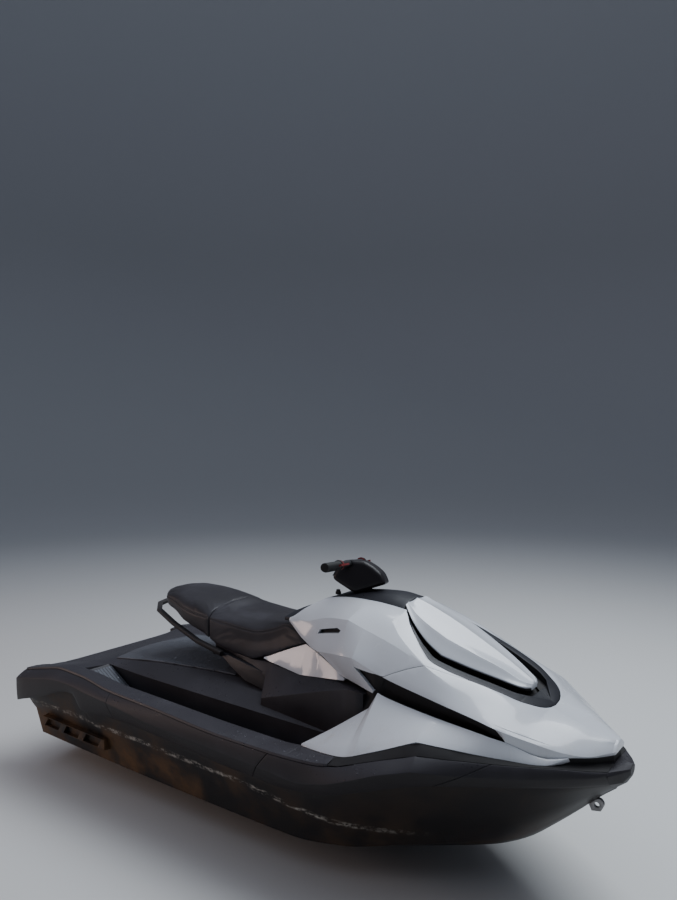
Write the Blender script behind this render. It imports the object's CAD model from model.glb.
"""Dresses a compact sit-on personal watercraft for a plain studio picture.

The mouldings are smooth lofts through named lines of the shape, and the small hard pieces are
softened copies of the CAD nodes. Tables are in millimetres, and every mesh is in metres.
"""

from collections.abc import Iterable, Sequence
from dataclasses import dataclass
from enum import Enum
from functools import partialmethod
import logging
import math

import bmesh
import bpy
from mathutils import Matrix, Vector
from mathutils.bvhtree import BVHTree
import numpy as np


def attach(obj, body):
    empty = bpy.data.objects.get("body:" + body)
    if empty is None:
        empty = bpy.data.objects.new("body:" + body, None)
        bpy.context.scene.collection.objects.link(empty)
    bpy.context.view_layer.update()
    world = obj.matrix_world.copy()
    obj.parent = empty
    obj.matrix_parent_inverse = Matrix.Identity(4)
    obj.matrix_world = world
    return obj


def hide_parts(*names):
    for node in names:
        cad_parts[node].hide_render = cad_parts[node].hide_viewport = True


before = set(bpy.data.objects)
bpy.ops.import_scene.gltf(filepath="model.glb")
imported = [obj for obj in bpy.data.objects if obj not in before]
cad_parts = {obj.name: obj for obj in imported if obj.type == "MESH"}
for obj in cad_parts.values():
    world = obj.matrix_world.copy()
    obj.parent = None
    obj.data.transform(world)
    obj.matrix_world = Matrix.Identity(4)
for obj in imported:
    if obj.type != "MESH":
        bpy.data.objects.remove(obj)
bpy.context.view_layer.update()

log = logging.getLogger("watercraft")

Mesh, Thing, Material, Socket = bmesh.types.BMesh, bpy.types.Object, bpy.types.Material, bpy.types.NodeSocket
Point = tuple[float, float]
Outline = list[Point]
Section = tuple[float, Outline]
Triple = Colour = tuple[float, float, float]

MM = 0.001
PANEL_GAP, SEAT_GAP, SKIN, TRIM_THICK = 2.0, 0.4, 15.0, 22.0
SEAM_REAR, SEAM_FRONT = (645.0, 343.0), (875.0, 248.0)
# Stations where a moulding starts or ends
STERN, DASH_REAR, WING_REAR, LID_REAR, DASH_FRONT = -1450, 60, 371, 592, 603
SKIRT_REAR, TRIM_FRONT, NOSE_FRONT = 645, 1174, 1392

# Named lines of the starboard side, as (x, half-breadth, height)
LINES: dict[str, list[Triple]] = {
    "keel": [(-1380, 0, -300), (300, 0, -300), (520, 0, -291), (700, 0, -268), (832, 0, -232), (954, 0, -187),
        (1077, 0, -119), (1183, 0, -32), (1254, 0, 32), (1347, 0, 122), (1400, 0, 165)],
    "chine": [(-1380, 470, -168), (-600, 478, -165), (300, 470, -158), (520, 440, -140), (758, 345, -100),
        (954, 232, -70), (1077, 150, -45), (1183, 80, 8), (1254, 42, 52), (1347, 24, 128), (1400, 14, 168)],
    "rail": [(-1380, 505, -30), (-600, 512, -36), (0, 512, -45), (300, 506, -52), (484, 488, -58), (758, 395, -25),
        (885, 335, -8), (1084, 232, 20), (1198, 150, 55), (1347, 52, 140), (1400, 28, 172)],
    "foot": [(-1450, 568, 14), (-1380, 580, 37), (-1300, 584, 60), (-1150, 584, 108), (-1050, 584, 142),
        (-980, 584, 156), (-935, 583, 156), (-890, 576, 84), (-600, 564, 100), (0, 565, 78), (300, 565, 74),
        (520, 562, 98), (700, 542, 152), (833, 500, 190), (954, 440, 205), (1058, 372, 205), (1174, 290, 205),
        (1284, 204, 203), (1348, 142, 202), (1392, 92, 201)],
    "wall": [(-1450, 488, 0), (-1150, 513, 0), (-600, 532, 0), (300, 534, 0), (520, 531, 0), (700, 505, 0),
        (833, 461, 0), (954, 405, 0), (1058, 338, 0), (1174, 258, 0), (1284, 172, 0), (1348, 112, 0), (1392, 62, 0)],
    "flange": [(-1450, 0, 48), (371, 0, 46), (520, 0, 92), (833, 0, 165), (1392, 0, 200)],
    "bulge": [(-1450, 573, 129), (-1409, 581, 139), (-1363, 587, 149), (-1240, 591, 173), (-1150, 592, 188),
        (-1084, 592, 197), (-1000, 592, 199), (-929, 592, 195), (-800, 593, 183), (-697, 593, 177), (-629, 593, 172),
        (-376, 595, 152), (0, 597, 145), (272, 600, 140), (418, 600, 133), (555, 600, 160), (656, 590, 195),
        (782, 564, 243), (875, 522, 262), (1009, 430, 250), (1197, 300, 243), (1300, 212, 240), (1375, 138, 238),
        (1440, 34, 236)],
    "rub": [(-1450, 520, 160), (-1409, 532, 168), (-1240, 540, 206), (-1084, 545, 232), (-929, 551, 231),
        (-697, 562, 210), (-376, 573, 205), (30, 584, 193), (294, 585, 196), (483, 577, 202), (613, 560, 224),
        (684, 540, 248), (868, 481, 300), (968, 430, 294), (1118, 342, 284), (1251, 245, 273), (1345, 160, 258),
        (1402, 98, 248), (1440, 30, 244)],
    "band": [(-1450, 470, 168), (-1368, 475, 185), (-1240, 478, 214), (-1084, 480, 240), (-929, 480, 238),
        (-697, 480, 219), (-376, 484, 214), (30, 490, 208), (294, 490, 207), (371, 482, 210)],
    "mat": [(-1450, 262, 158), (-1368, 262, 168), (-1115, 262, 214), (-1000, 270, 232), (-700, 260, 266),
        (-250, 208, 276), (600, 208, 276)],
    "crease": [(-1450, 330, 160), (-1368, 330, 170), (-1115, 330, 214), (-1000, 330, 222), (-700, 332, 214),
        (600, 332, 206)],
    "wing_low": [(371, 480, 210), (480, 508, 224), (592, 522, 240), (700, 500, 276), (855, 454, 336), (980, 400, 320),
        (1110, 325, 297), (1233, 247, 281), (1262, 217, 289), (1288, 188, 297)],
    "wing_top": [(371, 472, 216), (480, 424, 285), (600, 366, 368), (632, 352, 428), (665, 350, 418), (855, 342, 388),
        (1063, 328, 362), (1103, 309, 351), (1233, 229, 298), (1262, 208, 298), (1288, 186, 299)],
    "skirt": [(510, 328, 488), (645, 308, 476), (855, 300, 431), (1068, 290, 388), (1112, 303, 347), (1233, 225, 296),
        (1288, 184, 298), (1348, 114, 289), (1392, 51, 287)],
    "edge": [(60, 183, 578), (167, 214, 515), (264, 262, 500), (400, 312, 520), (510, 343, 531), (645, 343, 487),
        (855, 338, 442), (1058, 330, 400), (1180, 264, 352), (1284, 190, 312), (1348, 122, 296), (1392, 56, 298)],
    "fold": [(60, 182, 580), (167, 190, 590), (264, 196, 618), (425, 250, 645), (510, 262, 625), (645, 275, 592),
        (773, 284, 545), (855, 292, 505), (940, 282, 469), (1058, 240, 442), (1180, 152, 390), (1284, 110, 358),
        (1348, 76, 330), (1392, 34, 318)],
    "dash": [(20, 172, 582), (60, 176, 585), (130, 145, 635), (225, 102, 682), (314, 88, 692), (395, 92, 695),
        (474, 96, 694), (525, 100, 691), (603, 100, 682)],
    "trim": [(600, 100, 680), (639, 142, 647), (677, 174, 621), (731, 214, 586), (782, 244, 554), (804, 247, 543),
        (832, 245, 533), (867, 240, 521), (940, 221, 499), (1040, 186, 466), (1100, 153, 438), (1120, 138, 430),
        (1140, 119, 421), (1154, 99, 413), (1165, 74, 406), (1172, 46, 401), (1174, 30, 400)],
    "lid": [(592, 88, 700), (655, 132, 646), (730, 158, 590), (795, 168, 554), (900, 134, 517), (1000, 96, 484),
        (1055, 75, 466), (1078, 58, 459), (1092, 30, 455)],
    "lid_fold": [(592, 70, 706), (655, 100, 668), (730, 118, 634), (795, 122, 604), (900, 98, 558), (1000, 68, 512),
        (1055, 52, 481), (1078, 40, 470), (1092, 20, 462)],
    "lid_top": [(592, 0, 711), (655, 0, 690), (730, 0, 660), (795, 0, 631), (900, 0, 578), (1000, 0, 524),
        (1092, 0, 468)],
    "hood_top": [(1174, 0, 396), (1250, 0, 377), (1348, 0, 346), (1392, 0, 330)],
    "brow": [(1174, 30, 400), (1284, 46, 370), (1348, 32, 345), (1392, 14, 329)],
    "dash_top": [(20, 0, 600), (60, 0, 610), (130, 0, 644), (235, 0, 686), (348, 0, 712), (500, 0, 724),
        (588, 0, 712)],
    "seat_low": [(-842, 80, 524), (-790, 135, 514), (-705, 162, 500), (-611, 188, 468), (-473, 196, 432),
        (-334, 201, 384), (-150, 200, 367), (-40, 195, 408), (20, 192, 436), (90, 190, 465), (158, 188, 490)],
    "seat_seam": [(-842, 92, 562), (-790, 146, 560), (-705, 166, 552), (-611, 190, 532), (-473, 199, 518),
        (-334, 200, 505), (-150, 190, 492), (-40, 176, 520), (20, 165, 545), (90, 160, 532), (158, 150, 500)],
    "seat_shoulder": [(-842, 60, 588), (-790, 95, 594), (-705, 120, 590), (-611, 140, 582), (-473, 150, 562),
        (-334, 150, 540), (-150, 135, 530), (-40, 125, 546), (20, 118, 558), (90, 100, 548), (158, 90, 510)],
    "seat_top": [(-842, 0, 592), (-790, 0, 600), (-705, 0, 601), (-611, 0, 592), (-473, 0, 570), (-334, 0, 546),
        (-150, 0, 537), (-40, 0, 555), (20, 0, 574), (90, 0, 560), (158, 0, 515)],
    "arm": [(60, 183, 572), (167, 200, 503), (264, 240, 487), (430, 281, 425), (603, 345, 419), (645, 347, 419)],
}

# Stations where a line may turn sharply
CORNERS: dict[str, tuple[float, ...]] = {
    "edge": (510,), "fold": (425,), "wing_top": (371, 600, 632), "wing_low": (855,), "rub": (868,), "bulge": (875,),
    "trim": (639, 677, 731, 782, 832, 867), "skirt": (1068, 1112), "lid": (795,), "lid_fold": (795,),
    "arm": (603,), "foot": (-935, -890), "mat": (-1000, -700), "crease": (-1000,), "seat_low": (-150,),
}


class Side(Enum):
    """Which side of the craft a piece is on, and the sign of y there."""

    STARBOARD = -1
    PORT = 1


WORDS = ((Side.STARBOARD, "right"), (Side.PORT, "left"))


class Line:
    """One named line: smooth through its points, and sharp only at its corner stations."""

    def __init__(self, points: Sequence[Triple], corners: Sequence[float]) -> None:
        """Works out the slopes at the points.

        Args:
            points: Station, half-breadth and height of each point.
            corners: Stations where the line turns sharply.
        """
        self.x = np.array([p[0] for p in points], float)
        self.v = np.array([p[1:] for p in points], float)
        secants = np.diff(self.v, axis=0) / np.diff(self.x)[:, None]
        before, after = np.vstack([secants[:1], secants]), np.vstack([secants, secants[-1:]])
        total = np.where(before + after == 0, 1.0, before + after)
        smooth = np.where(before * after > 0, 2 * before * after / total, 0.0)
        sharp = np.isin(self.x, corners)[:, None]
        self.left, self.right = np.where(sharp, before, smooth), np.where(sharp, after, smooth)

    def at(self, x: float) -> Point:
        """Half-breadth and height at station x.

        Args:
            x: Station.

        Returns:
            Both values, or those at the line's end for a station past it.
        """
        if x <= self.x[0] or x >= self.x[-1]:
            return tuple(self.v[0 if x <= self.x[0] else -1])
        i = int(np.searchsorted(self.x, x)) - 1
        h = self.x[i + 1] - self.x[i]
        t = (x - self.x[i]) / h
        a, b = 2 * t**3 - 3 * t**2 + 1, t**3 - 2 * t**2 + t
        c, d = -2 * t**3 + 3 * t**2, t**3 - t**2
        return tuple(a * self.v[i] + b * h * self.right[i] + c * self.v[i + 1] + d * h * self.left[i + 1])


SHAPE = {name: Line(points, CORNERS.get(name, ())) for name, points in LINES.items()}


def at(line: str, x: float) -> Point:
    """Half-breadth and height of a named line at station x."""
    return SHAPE[line].at(x)


def stations(rear: float, front: float, step: float, keep: Iterable[float] = ()) -> list[float]:
    """Evenly spaced stations between two ends, with the ones that have to be kept.

    Args:
        rear: First station.
        front: Last station.
        step: Rough spacing.
        keep: Stations that have to be in the list.

    Returns:
        The stations in order.
    """
    count = max(2, round((front - rear) / step) + 1)
    kept = [x for x in keep if rear < x < front]
    even = [x for x in np.linspace(rear, front, count) if all(abs(x - k) > step / 3 for k in kept)]
    return sorted({rear, front, *kept, *even})


def crowned(a: Point, b: Point, rise: float, count: int = 3) -> Outline:
    """Points between two corners of an outline on a slight arch.

    Args:
        a: First corner.
        b: Last corner.
        rise: Height of the arch to the left of the way from a to b.
        count: Points between the corners.

    Returns:
        The corner a and the points after it, without b.
    """
    (ay, az), (by, bz) = a, b
    run = math.hypot(by - ay, bz - az) or 1.0
    points = [a]
    for i in range(1, count + 1):
        t = i / (count + 1)
        lift = rise * 4 * t * (1 - t) / run
        points.append((ay + t * (by - ay) - lift * (bz - az), az + t * (bz - az) + lift * (by - ay)))
    return points


def ramp(x: float, start: float, end: float) -> float:
    """Rises from 0 at one station to 1 at another, and is level outside them."""
    return min(max((x - start) / (end - start), 0.0), 1.0)


def whole(half: Outline) -> Outline:
    """A symmetric outline from its half, which starts and ends on the centreline."""
    return [(-y, z) for y, z in half] + [(y, z) for y, z in reversed(half) if y > 1e-6]


def between(a: Outline, b: Outline, share: float) -> Outline:
    """The outline that lies a share of the way from a to b."""
    return [(ay + share * (by - ay), az + share * (bz - az)) for (ay, az), (by, bz) in zip(a, b)]


def skinned(rings: Iterable[Sequence[Sequence[float]]], caps: tuple[bool, bool] = (True, True),
            dark: Sequence[int] = ()) -> Mesh:
    """A skin of quads between rings of points.

    Args:
        rings: Rings with the same number of points, in millimetres.
        caps: Whether the first and the last ring are closed.
        dark: Sides of the rings, counted from 0, that take the second material.

    Returns:
        The mesh, in metres.
    """
    bm = bmesh.new()
    rows = [[bm.verts.new([c * MM for c in point]) for point in ring] for ring in rings]
    for near, far in zip(rows, rows[1:]):
        for i in range(len(near)):
            j = (i + 1) % len(near)
            bm.faces.new((near[i], near[j], far[j], far[i])).material_index = int(i in dark)
    for wanted, row in zip(caps, (rows[0], rows[-1])):
        if wanted:
            bm.faces.new(row)
    bmesh.ops.recalc_face_normals(bm, faces=bm.faces)
    return bm


def loft(sections: Iterable[Section], sign: float = 1.0, caps: tuple[bool, bool] = (True, True),
         dark: Sequence[int] = ()) -> Mesh:
    """A skin through outlines across the craft, with a sign of -1 to put them on the other side."""
    return skinned([[(x, sign * y, z) for y, z in outline] for x, outline in sections], caps, dark)


def cut(bm: Mesh, point: Sequence[float], normal: Sequence[float]) -> Mesh:
    """Cuts away what lies on the side that the normal points to, and closes the hole.

    Args:
        bm: The mesh, which is changed.
        point: A point of the plane, in millimetres.
        normal: The plane's normal.

    Returns:
        The same mesh.
    """
    parts = [*bm.verts, *bm.edges, *bm.faces]
    made = bmesh.ops.bisect_plane(bm, geom=parts, plane_co=Vector(point) * MM, plane_no=Vector(normal),
                                  clear_outer=True, dist=1e-6)
    rim = [e for e in made["geom_cut"] if isinstance(e, bmesh.types.BMEdge)]
    bmesh.ops.holes_fill(bm, edges=rim)
    bmesh.ops.recalc_face_normals(bm, faces=bm.faces)
    return bm


def joined(*meshes: Mesh, weld: float = 0.0) -> Mesh:
    """Several meshes as one, with the points nearer than weld made one.

    Args:
        meshes: The meshes, which are used up.
        weld: Distance under which points become one, in metres, or 0 to leave them.

    Returns:
        The new mesh.
    """
    total = bmesh.new()
    for bm in meshes:
        mesh = bpy.data.meshes.new("part")
        bm.to_mesh(mesh)
        bm.free()
        total.from_mesh(mesh)
        bpy.data.meshes.remove(mesh)
    if weld:
        bmesh.ops.remove_doubles(total, verts=total.verts, dist=weld)
        bmesh.ops.recalc_face_normals(total, faces=total.faces)
    return total


def from_node(name: str) -> Mesh:
    """A merged copy of a CAD node's mesh.

    Args:
        name: The CAD node's name.

    Returns:
        The copy.
    """
    bm = bmesh.new()
    bm.from_mesh(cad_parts[name].data)
    bmesh.ops.remove_doubles(bm, verts=bm.verts, dist=1e-5)
    bmesh.ops.dissolve_limit(bm, angle_limit=math.radians(0.8), verts=bm.verts, edges=bm.edges)
    return bm


def linked(name: str, data: bpy.types.ID) -> Thing:
    """A new object of some data, linked to the scene.

    Args:
        name: The object's name.
        data: Its mesh, curve, camera or light.

    Returns:
        The object.
    """
    made = bpy.data.objects.new(name, data)
    bpy.context.scene.collection.objects.link(made)
    return made


def shaded(mesh: bpy.types.Mesh, sharp: float = 40.0) -> None:
    """Shades a mesh smooth, apart from edges over an angle in degrees."""
    mesh.shade_smooth()
    mesh.set_sharp_from_angle(angle=math.radians(sharp))


def new_object(name: str, bm: Mesh, paint: Material | None = None, sharp: float = 28.0) -> Thing:
    """An object of a mesh, smooth apart from edges over an angle.

    Args:
        name: The object's name.
        bm: Its mesh, which is used up.
        paint: Its material, or None for a plain body to cut with, which stays faceted.
        sharp: Angle over which an edge stays sharp, in degrees.

    Returns:
        The object, linked to the scene.
    """
    mesh = bpy.data.meshes.new(name)
    bm.to_mesh(mesh)
    bm.free()
    if paint:
        mesh.materials.append(paint)
        shaded(mesh, sharp)
    return linked(name, mesh)


def evaluated(made: Thing) -> bpy.types.Mesh:
    """A new mesh of an object with its modifiers."""
    bpy.context.view_layer.update()
    return bpy.data.meshes.new_from_object(made.evaluated_get(bpy.context.evaluated_depsgraph_get()))


def modified(made: Thing, kind: str, **settings: object) -> Thing:
    """Applies one modifier with some settings to an object's mesh.

    Args:
        made: The object.
        kind: The modifier's type.
        settings: Its properties.

    Returns:
        The same object.
    """
    modifier = made.modifiers.new(kind, kind)
    for name, value in settings.items():
        setattr(modifier, name, value)
    solid = evaluated(made)
    made.modifiers.clear()
    made.data = solid
    return made


def prism(corners: Iterable[Point], low_y: float, high_y: float) -> Thing:
    """A prism across the craft, from its outline seen from the side, to cut with."""
    return new_object("cutter", skinned([[(x, y, z) for x, z in corners] for y in (low_y, high_y)]))


def bore(place: Sequence[float], axis: Sequence[float], radius: float, length: float) -> Thing:
    """A cylinder through a place along an axis, to cut with.

    Args:
        place: Its middle, in millimetres.
        axis: Its direction.
        radius: Its radius.
        length: Its length.

    Returns:
        The body.
    """
    bm = bmesh.new()
    turn = Vector(axis).to_track_quat("Z", "Y").to_matrix().to_4x4()
    bmesh.ops.create_cone(bm, cap_ends=True, segments=48, radius1=radius * MM, radius2=radius * MM,
                          depth=length * MM, matrix=Matrix.Translation(Vector(place) * MM) @ turn)
    bmesh.ops.recalc_face_normals(bm, faces=bm.faces)
    return new_object("cutter", bm)


def cut_out(made: Thing, *cutters: Thing) -> None:
    """Cuts bodies out of an object and removes them.

    Args:
        made: The object.
        cutters: The bodies, which are used up.
    """
    for cutter in cutters:
        modified(made, "BOOLEAN", operation="DIFFERENCE", object=cutter, solver="EXACT")
        bpy.data.objects.remove(cutter)


def rounded(made: Thing, voxel: float, passes: int) -> Thing:
    """Turns a piece into one soft body with well rounded edges."""
    modified(made, "REMESH", mode="VOXEL", voxel_size=voxel, use_smooth_shade=True)
    return modified(made, "SMOOTH", factor=0.5, iterations=passes)


def softened(made: Thing, width: float, angle: float) -> None:
    """Rounds an object's edges over an angle in degrees, to a width in millimetres."""
    modified(made, "BEVEL", limit_method="ANGLE", angle_limit=math.radians(angle), width=width * MM, segments=3)
    shaded(made.data)


class Num:
    """A number in a shader. Python's operators on it add Math nodes."""

    def __init__(self, paint: "Paint", socket: Socket) -> None:
        """Wraps a socket of a material that is being made."""
        self.paint, self.socket = paint, socket

    def maths(self, operation: str, other: "Num | float" = 0.0) -> "Num":
        """Adds a Math node with this number first."""
        return self.paint.number("ShaderNodeMath", {"operation": operation}, {0: self, 1: other})

    def __rsub__(self, other: float) -> "Num":
        """Difference from a value."""
        return self.paint.number("ShaderNodeMath", {"operation": "SUBTRACT"}, {0: other, 1: self})

    __add__ = __radd__ = partialmethod(maths, "ADD")
    __mul__ = __rmul__ = partialmethod(maths, "MULTIPLY")
    __sub__ = partialmethod(maths, "SUBTRACT")
    __truediv__ = partialmethod(maths, "DIVIDE")
    __pow__ = partialmethod(maths, "POWER")

    def most(self, limit: float) -> "Num":
        """This number, held under a limit."""
        return self.maths("MINIMUM", limit)

    def step(self, low: float, high: float) -> "Num":
        """Rises smoothly from 0 at low to 1 at high."""
        return self.paint.number("ShaderNodeMapRange", {"interpolation_type": "SMOOTHSTEP"},
                                 {"Value": self, "From Min": low, "From Max": high})


class Paint:
    """One material, with short ways to add the nodes that it needs."""

    def __init__(self, name: str, colour: Colour, roughness: float, **constants: float) -> None:
        """Starts a material.

        Args:
            name: The material's name.
            colour: Base colour.
            roughness: Roughness.
            constants: Other values of the shader, by socket name with underscores for spaces.
        """
        self.material = bpy.data.materials.new(name)
        self.material.use_nodes = True
        self.tree = self.material.node_tree
        self.shader = self.tree.nodes["Principled BSDF"]
        values = {"Base Color": (*colour, 1.0), "Roughness": roughness}
        self.feed(self.shader, {**values, **{k.replace("_", " "): v for k, v in constants.items()}})
        self.place = self.node("ShaderNodeTexCoord").outputs["Object"]
        self.x, self.y, self.z = self.axes(self.place)

    def feed(self, target: bpy.types.Node, inputs: dict) -> None:
        """Sets or links a node's sockets, given by name or number.

        Args:
            target: The node.
            inputs: Values or links of its sockets.
        """
        for name, value in inputs.items():
            value = value.socket if isinstance(value, Num) else value
            if isinstance(value, Socket):
                self.tree.links.new(value, target.inputs[name])
            else:
                target.inputs[name].default_value = value

    def node(self, kind: str, settings: dict | None = None, inputs: dict | None = None) -> bpy.types.Node:
        """Adds a node.

        Args:
            kind: The node's type.
            settings: Its properties, set first.
            inputs: Values or links of its sockets, by name or number.

        Returns:
            The node.
        """
        made = self.tree.nodes.new(kind)
        for name, value in (settings or {}).items():
            setattr(made, name, value)
        self.feed(made, inputs or {})
        return made

    def number(self, kind: str, settings: dict | None = None, inputs: dict | None = None) -> Num:
        """Adds a node and gives its first output as a number."""
        return Num(self, self.node(kind, settings, inputs).outputs[0])

    def axes(self, vector: Socket) -> list[Num]:
        """The three parts of a vector."""
        return [Num(self, part) for part in self.node("ShaderNodeSeparateXYZ", inputs={0: vector}).outputs]

    def finish(self, colour: Socket, roughness: Num, normal: Socket | None = None) -> Material:
        """Links what varies to the shader and gives the material.

        Args:
            colour: Base colour.
            roughness: Roughness.
            normal: Normal, or None where the surface is plain.

        Returns:
            The material.
        """
        self.feed(self.shader, {"Base Color": colour, "Roughness": roughness})
        if normal is not None:
            self.feed(self.shader, {"Normal": normal})
        return self.material

    def noise(self, scale: float, detail: float = 3.0, rough: float = 0.55,
              stretch: Sequence[float] | None = None) -> Num:
        """Noise from about 0.3 to 0.7.

        Args:
            scale: Features per metre.
            detail: Octaves.
            rough: Strength of the finer octaves.
            stretch: Scale of the coordinates along the three axes.

        Returns:
            The noise.
        """
        place = self.place
        if stretch:
            place = self.node("ShaderNodeMapping", inputs={"Vector": self.place, "Scale": stretch}).outputs[0]
        return self.number("ShaderNodeTexNoise", {"noise_dimensions": "3D"},
                           {"Vector": place, "Scale": scale, "Detail": detail, "Roughness": rough})

    def cells(self, scale: float, randomness: float = 1.0) -> tuple[Num, Socket]:
        """Distance to the nearest cell centre, in cells, and the cell's random colour.

        Args:
            scale: Cells per metre.
            randomness: How irregular they are, up to 1.

        Returns:
            The distance and the colour.
        """
        made = self.node("ShaderNodeTexVoronoi", {"feature": "F1"},
                         {"Vector": self.place, "Scale": scale, "Randomness": randomness})
        return Num(self, made.outputs["Distance"]), made.outputs["Color"]

    def mixed(self, share: Num, a: Colour | Socket, b: Colour) -> Socket:
        """Colour a with a share of colour b over it."""
        first = a if isinstance(a, Socket) else (*a, 1.0)
        return self.node("ShaderNodeMix", {"data_type": "RGBA"}, {0: share, 6: first, 7: (*b, 1.0)}).outputs[2]

    def bump(self, height: Num, depth: float, under: Socket | None = None) -> Socket:
        """A normal from a height of 0 to 1 that stands for a depth in metres.

        Args:
            height: The height.
            depth: The depth.
            under: The normal that it is added to.

        Returns:
            The normal.
        """
        made = self.node("ShaderNodeBump", inputs={"Height": height, "Distance": depth, "Strength": 1.0})
        if under is not None:
            self.feed(made, {"Normal": under})
        return made.outputs[0]

    def facing_up(self, low: float = 0.25, high: float = 0.8) -> Num:
        """1 where the surface faces up by more than the higher limit, 0 under the lower one."""
        return self.axes(self.node("ShaderNodeNewGeometry").outputs["Normal"])[2].step(low, high)

    def droplets(self, wet: Num, per_metre: float = 75.0) -> Num:
        """Heights of water drops of many sizes, where the surface is wet.

        Args:
            wet: Share of the surface that is wet.
            per_metre: Cells per metre, with a drop in each.

        Returns:
            The heights.
        """
        near, tint = self.cells(per_metre)
        radius = 0.1 + self.number("ShaderNodeSeparateColor", inputs={0: tint})**3.0 * 0.36
        return (1.0 - near / radius).maths("MAXIMUM", 0.0)**0.6 * wet


@dataclass(frozen=True)
class Gelcoat:
    """Glossy moulded skin with a faint orange peel, water marks and a little grime low down."""

    name: str
    colour: Colour = (0.67, 0.69, 0.73)
    grime: Colour = (0.42, 0.37, 0.31)
    roughness: float = 0.2

    def mix(self) -> Material:
        """Makes the material.

        Returns:
            The material.
        """
        paint = Paint(self.name, self.colour, self.roughness, Coat_Weight=0.6, Coat_Roughness=0.06, IOR=1.48)
        cloud = paint.noise(3.0, 4.0)
        streak = paint.noise(16.0, 4.0, 0.7, (1.0, 1.0, 0.12))
        low = 1.0 - paint.z.step(0.22, 0.46)
        dirty = (streak.step(0.5, 0.75) * low * 0.35 + cloud.step(0.5, 0.8) * 0.05).most(1.0)
        wet = paint.noise(5.0, 2.0).step(0.56, 0.66) * paint.facing_up() * 0.7
        peel = paint.bump(paint.noise(260.0, 2.0), 0.00006)
        return paint.finish(paint.mixed(dirty, self.colour, self.grime),
                            self.roughness + paint.noise(40.0) * 0.1 + dirty * 0.3,
                            paint.bump(paint.droplets(wet, 150.0), 0.0006, peel))


@dataclass(frozen=True)
class Moulding:
    """Satin grained moulding, lighter where it faces up, with worn edges, dust and drops of water."""

    name: str
    colour: Colour = (0.026, 0.024, 0.028)
    worn: Colour = (0.062, 0.059, 0.070)
    roughness: float = 0.42
    grain: float = 900.0
    depth: float = 0.00012
    wet: float = 1.0

    def mix(self) -> Material:
        """Makes the material.

        Returns:
            The material.
        """
        paint = Paint(self.name, self.colour, self.roughness, Specular_IOR_Level=0.3)
        cloud = paint.noise(4.0, 5.0, 0.6)
        scuff = paint.noise(30.0, 4.0, 0.7, (0.25, 1.0, 1.0))
        lit = paint.facing_up(0.1, 0.75)
        wear = (scuff.step(0.62, 0.8) * 0.5 + cloud.step(0.45, 0.75) * 0.35 + lit * 0.45).most(1.0)
        drops = paint.droplets(paint.noise(2.6).step(0.44, 0.56) * paint.facing_up() * self.wet)
        wetness = drops.step(0.02, 0.2)
        shade = (1.0 - paint.facing_up(-0.5, 0.1)) * 0.7
        tone = paint.mixed(shade, paint.mixed(wear, self.colour, self.worn), (0.009, 0.006, 0.006))
        dry = self.roughness + cloud * 0.2 - 0.1
        return paint.finish(paint.mixed(drops.step(0.35, 0.9) * 0.6, tone, (0.16, 0.16, 0.18)),
                            dry * (1.0 - wetness) + wetness * 0.06,
                            paint.bump(drops, 0.0012, paint.bump(paint.cells(self.grain)[0], self.depth)))


@dataclass(frozen=True)
class StainedHull:
    """Very dark glossy hull with dried brown dirt and a scuffed band over the rail."""

    name: str
    colour: Colour = (0.008, 0.006, 0.006)
    dirt: Colour = (0.150, 0.082, 0.040)
    scuffed: Colour = (0.42, 0.38, 0.33)
    roughness: float = 0.3

    def mix(self) -> Material:
        """Makes the material.

        Returns:
            The material.
        """
        paint = Paint(self.name, self.colour, self.roughness, Coat_Weight=0.05, Coat_Roughness=0.15,
                      Specular_IOR_Level=0.2)
        cloud = paint.noise(3.5, 6.0, 0.62)
        fine = paint.noise(60.0, 5.0, 0.7)
        aft, low = 1.0 - paint.x.step(-0.9, 0.9), 1.0 - paint.z.step(-0.12, 0.1)
        stain = (cloud.step(0.40, 0.64) * (0.25 + aft * 0.6) * (0.35 + low * 0.65) * (0.5 + fine)).most(0.9)
        height = paint.z - (1.0 - paint.x.step(0.0, 0.76)) * 0.055
        band = height.step(-0.052, -0.040) * (1.0 - height.step(-0.030, -0.018)) * (1.0 - paint.x.step(0.5, 0.9))
        rub = paint.noise(45.0, 5.0, 0.75, (0.3, 1.0, 1.0))
        scuffs = band * rub.step(0.44, 0.6) * fine.step(0.38, 0.56) * 0.8
        return paint.finish(paint.mixed(scuffs, paint.mixed(stain, self.colour, self.dirt), self.scuffed),
                            (self.roughness + 0.12 + stain * 0.45 + scuffs * 0.3).most(0.9),
                            paint.bump(scuffs + stain * 0.5, 0.0002, paint.bump(rub, 0.0002)))


@dataclass(frozen=True)
class FoamMat:
    """Closed-cell foam with grooves along the craft and beads of water."""

    name: str
    colour: Colour = (0.112, 0.118, 0.138)
    groove: Colour = (0.035, 0.036, 0.044)
    pitch: float = 0.016

    def mix(self) -> Material:
        """Makes the material.

        Returns:
            The material.
        """
        paint = Paint(self.name, self.colour, 0.7)
        ridge = ((paint.y / self.pitch).maths("PINGPONG", 0.5) * 2.0).step(0.12, 0.3)
        speck = paint.noise(420.0, 3.0, 0.7)
        tone = paint.mixed(ridge, self.groove, self.colour)
        pool = paint.noise(4.2).step(0.46, 0.54)
        drops = paint.droplets(pool, 60.0)
        wetness = drops.step(0.02, 0.2)
        foam = paint.mixed(speck.step(0.5, 0.75) * 0.35, tone, (0.13, 0.14, 0.155))
        pores = paint.bump(speck, 0.0003, paint.bump(ridge, 0.0012))
        return paint.finish(paint.mixed(drops.step(0.3, 0.8) * 0.8, foam, (0.34, 0.35, 0.38)),
                            (0.62 - pool * 0.2) * (1.0 - wetness) + wetness * 0.05,
                            paint.bump(drops, 0.002, pores))


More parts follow.
